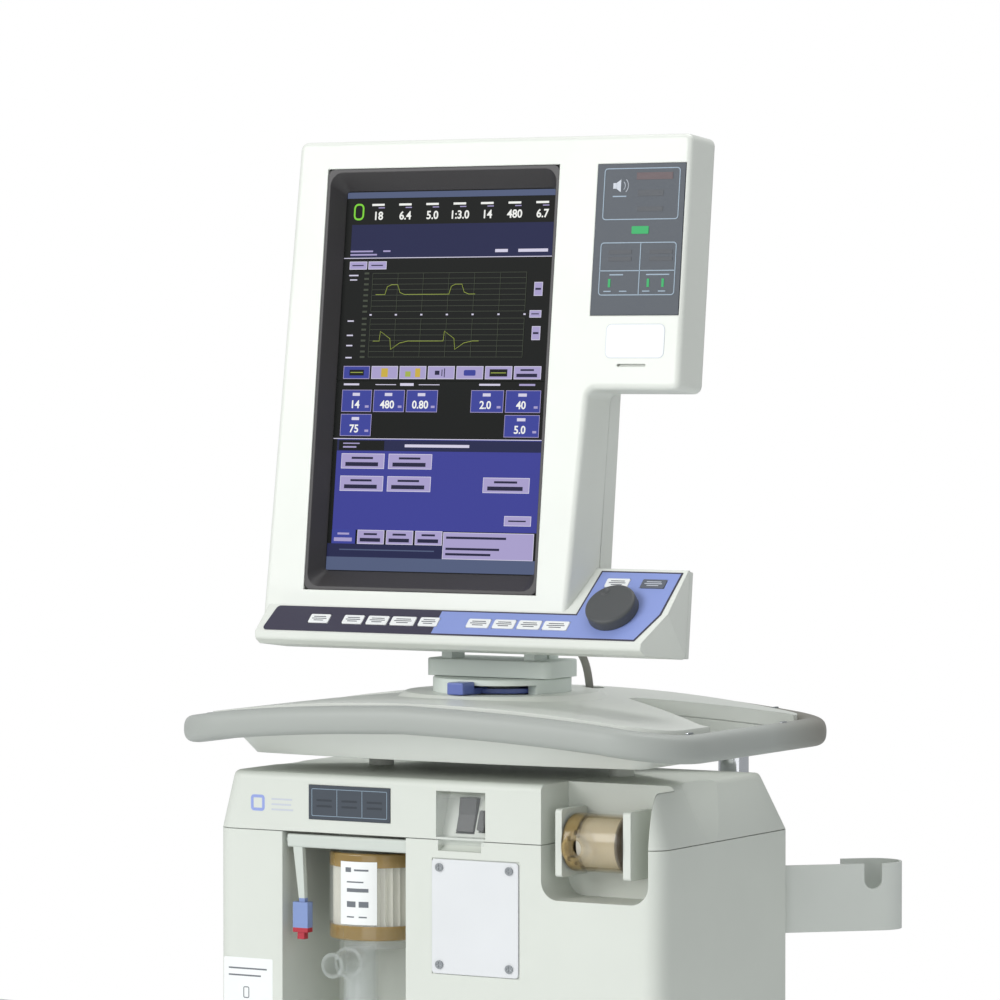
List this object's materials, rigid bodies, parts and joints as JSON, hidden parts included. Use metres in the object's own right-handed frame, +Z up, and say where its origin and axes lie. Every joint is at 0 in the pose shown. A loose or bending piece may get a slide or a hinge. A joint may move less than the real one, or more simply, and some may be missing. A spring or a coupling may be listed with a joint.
{
  "type": "mechanical ventilator",
  "caption": "Intensive-care ventilator on a wheeled cart: breathing unit with filter bays, bowed push handle, and a tilting swivel display with console keys and a control knob.",
  "frame": {"origin": "on the floor under the middle of the object's bounding box, which is the middle of the base", "axes": "+X to the object's left-hand side as seen from behind, that is to the right of a person facing the display; +Y to the back; +Z up"},
  "size_m": [0.582, 0.602, 1.4898],
  "materials": {
    "unit_plastic": "fine satin texture",
    "white_plastic": "smooth satin",
    "white_plate": "fine powder coat",
    "steel_screws": "bright",
    "plated_sheet": "satin",
    "status_print": "printed film",
    "black_plastic": "satin",
    "clear_plastic": "clear",
    "amber_plastic": "clear amber",
    "filter_paper": "pleated",
    "latch_plastic": "satin",
    "machined_aluminium": "machined",
    "rail_elastomer": "soft matt",
    "collar_plastic": "satin",
    "lever_plastic": "satin",
    "cable_jacket": "matt",
    "grille_plastic": "satin",
    "cast_pump": "cast",
    "battery_case": "powder coat",
    "bright_tube": "polished",
    "steel_deck": "powder coat",
    "bezel_plastic": "satin",
    "screen_glass": "lit display",
    "overlay_print": "printed film",
    "board_laminate": "solder mask",
    "knob_rubber": "soft matt",
    "key_plastic": "satin",
    "fork_plastic": "satin",
    "tread_rubber": "matt"
  },
  "bodies": {
    "cart": {"base_frame": "steel_deck", "base_cover": "unit_plastic", "battery_pack": "battery_case", "rear_posts": "bright_tube", "compressor_cabinet": "unit_plastic", "compressor_grille": "grille_plastic", "compressor_pump": "cast_pump", "unit_housing": "unit_plastic", "unit_top_cover": "unit_plastic", "unit_rear_panel": "plated_sheet", "gas_block": "machined_aluminium", "blank_plate": "white_plate", "plate_screws": "steel_screws", "unit_status_panel": "status_print", "exp_filter_shell": "amber_plastic", "filter_media": "filter_paper", "collector_vial": "clear_plastic", "insp_filter_shell": "amber_plastic", "insp_cradle": "white_plastic", "hose_bracket": "plated_sheet", "handle_upper_shell": "white_plastic", "handle_lower_shell": "white_plastic", "handle_rail": "rail_elastomer", "turntable_ring": "collar_plastic", "display_cable": "cable_jacket"},
    "swivel": {"swivel_collar": "collar_plastic"},
    "display": {"front_housing": "white_plastic", "rear_housing": "white_plastic", "screen_surround": "bezel_plastic", "display_panels": "screen_glass", "console_overlay": "overlay_print", "alarm_status_panel": "status_print", "display_board": "board_laminate"},
    "knob": {"control_knob": "knob_rubber"},
    "lever": {"lock_lever": "lever_plastic"},
    "rocker": {"power_rocker": "black_plastic"},
    "guard": {"switch_guard": "clear_plastic"},
    "breaker": {"breaker_button": "black_plastic"},
    "latch": {"filter_latch": "latch_plastic"},
    "lock_key": {"lock_key": "key_plastic"},
    "contrast_key": {"contrast_key": "key_plastic"},
    "silence_key": {"silence_key": "key_plastic"},
    "reset_key": {"reset_key": "key_plastic"},
    "help_key": {"help_key": "key_plastic"},
    "oxygen_key": {"oxygen_key": "key_plastic"},
    "manual_breath_key": {"manual_breath_key": "key_plastic"},
    "exhale_pause_key": {"exhale_pause_key": "key_plastic"},
    "inhale_pause_key": {"inhale_pause_key": "key_plastic"},
    "clear_key": {"clear_key": "key_plastic"},
    "accept_key": {"accept_key": "knob_rubber"},
    "fork_front_left": {"fork_front_left": "fork_plastic"},
    "wheel_front_left": {"wheel_front_left": "tread_rubber"},
    "pedal_front_left": {"pedal_front_left": "black_plastic"},
    "fork_front_right": {"fork_front_right": "fork_plastic"},
    "wheel_front_right": {"wheel_front_right": "tread_rubber"},
    "pedal_front_right": {"pedal_front_right": "black_plastic"},
    "fork_rear_left": {"fork_rear_left": "fork_plastic"},
    "wheel_rear_left": {"wheel_rear_left": "tread_rubber"},
    "fork_rear_right": {"fork_rear_right": "fork_plastic"},
    "wheel_rear_right": {"wheel_rear_right": "tread_rubber"}
  },
  "joints": [
    {"name": "display_swivel", "type": "hinge", "parent": "cart", "child": "swivel", "pos_m": [0, 0.004, 1.027], "axis": [0, 0, 1], "range_deg": [-35, 35], "deforming": ["display_cable"]},
    {"name": "display_tilt", "type": "hinge", "parent": "swivel", "child": "display", "pos_m": [0, -0.01, 1.062], "axis": [-1, 0, 0], "range_deg": [-6, 14]},
    {"name": "knob_turn", "type": "hinge", "parent": "display", "child": "knob", "pos_m": [0.1545, -0.07709, 1.08927], "axis": [0, -0.6884, 0.7254], "continuous": true},
    {"name": "lock_key_press", "type": "slide", "parent": "display", "child": "lock_key", "axis": [0, 0.6884, -0.7254], "range_m": [0, 0.0008], "stiffness_N_per_m": 600},
    {"name": "contrast_key_press", "type": "slide", "parent": "display", "child": "contrast_key", "axis": [0, 0.6884, -0.7254], "range_m": [0, 0.0008], "stiffness_N_per_m": 600},
    {"name": "silence_key_press", "type": "slide", "parent": "display", "child": "silence_key", "axis": [0, 0.6884, -0.7254], "range_m": [0, 0.0008], "stiffness_N_per_m": 600},
    {"name": "reset_key_press", "type": "slide", "parent": "display", "child": "reset_key", "axis": [0, 0.6884, -0.7254], "range_m": [0, 0.0008], "stiffness_N_per_m": 600},
    {"name": "help_key_press", "type": "slide", "parent": "display", "child": "help_key", "axis": [0, 0.6884, -0.7254], "range_m": [0, 0.0008], "stiffness_N_per_m": 600},
    {"name": "oxygen_key_press", "type": "slide", "parent": "display", "child": "oxygen_key", "axis": [0, 0.6884, -0.7254], "range_m": [0, 0.0008], "stiffness_N_per_m": 600},
    {"name": "manual_breath_key_press", "type": "slide", "parent": "display", "child": "manual_breath_key", "axis": [0, 0.6884, -0.7254], "range_m": [0, 0.0008], "stiffness_N_per_m": 600},
    {"name": "exhale_pause_key_press", "type": "slide", "parent": "display", "child": "exhale_pause_key", "axis": [0, 0.6884, -0.7254], "range_m": [0, 0.0008], "stiffness_N_per_m": 600},
    {"name": "inhale_pause_key_press", "type": "slide", "parent": "display", "child": "inhale_pause_key", "axis": [0, 0.6884, -0.7254], "range_m": [0, 0.0008], "stiffness_N_per_m": 600},
    {"name": "clear_key_press", "type": "slide", "parent": "display", "child": "clear_key", "axis": [0, 0.6884, -0.7254], "range_m": [0, 0.0008], "stiffness_N_per_m": 600},
    {"name": "accept_key_press", "type": "slide", "parent": "display", "child": "accept_key", "axis": [0, 0.6884, -0.7254], "range_m": [0, 0.0008], "stiffness_N_per_m": 600},
    {"name": "lock_lever_turn", "type": "hinge", "parent": "cart", "child": "lever", "pos_m": [0, 0.004, 1.016], "axis": [0, 0, 1], "range_deg": [0, 45]},
    {"name": "power_rocker_tip", "type": "hinge", "parent": "cart", "child": "rocker", "pos_m": [0.026, -0.09671, 0.91401], "axis": [-1, 0, 0], "range_deg": [0, 12]},
    {"name": "breaker_press", "type": "slide", "parent": "cart", "child": "breaker", "axis": [0, 0.9397, -0.342], "range_m": [0, 0.002], "stiffness_N_per_m": 500},
    {"name": "guard_lift", "type": "hinge", "parent": "cart", "child": "guard", "pos_m": [0, -0.1136, 0.9316], "axis": [-1, 0, 0], "range_deg": [0, 100]},
    {"name": "filter_latch_swing", "type": "hinge", "parent": "cart", "child": "latch", "pos_m": [0, -0.107, 0.8875], "axis": [-1, 0, 0], "range_deg": [0, 60]},
    {"name": "caster_swivel_front_left", "type": "hinge", "parent": "cart", "child": "fork_front_left", "pos_m": [-0.246, -0.238, 0.13], "axis": [0, 0, 1], "continuous": true},
    {"name": "wheel_roll_front_left", "type": "hinge", "parent": "fork_front_left", "child": "wheel_front_left", "pos_m": [-0.246, -0.208, 0.05], "axis": [1, 0, 0], "continuous": true},
    {"name": "brake_front_left", "type": "hinge", "parent": "fork_front_left", "child": "pedal_front_left", "pos_m": [-0.246, -0.26, 0.096], "axis": [1, 0, 0], "range_deg": [0, 14]},
    {"name": "caster_swivel_front_right", "type": "hinge", "parent": "cart", "child": "fork_front_right", "pos_m": [0.246, -0.238, 0.13], "axis": [0, 0, 1], "continuous": true},
    {"name": "wheel_roll_front_right", "type": "hinge", "parent": "fork_front_right", "child": "wheel_front_right", "pos_m": [0.246, -0.208, 0.05], "axis": [1, 0, 0], "continuous": true},
    {"name": "brake_front_right", "type": "hinge", "parent": "fork_front_right", "child": "pedal_front_right", "pos_m": [0.246, -0.26, 0.096], "axis": [1, 0, 0], "range_deg": [0, 14]},
    {"name": "caster_swivel_rear_left", "type": "hinge", "parent": "cart", "child": "fork_rear_left", "pos_m": [-0.246, 0.218, 0.13], "axis": [0, 0, 1], "continuous": true},
    {"name": "wheel_roll_rear_left", "type": "hinge", "parent": "fork_rear_left", "child": "wheel_rear_left", "pos_m": [-0.246, 0.248, 0.05], "axis": [1, 0, 0], "continuous": true},
    {"name": "caster_swivel_rear_right", "type": "hinge", "parent": "cart", "child": "fork_rear_right", "pos_m": [0.246, 0.218, 0.13], "axis": [0, 0, 1], "continuous": true},
    {"name": "wheel_roll_rear_right", "type": "hinge", "parent": "fork_rear_right", "child": "wheel_rear_right", "pos_m": [0.246, 0.248, 0.05], "axis": [1, 0, 0], "continuous": true}
  ]
}
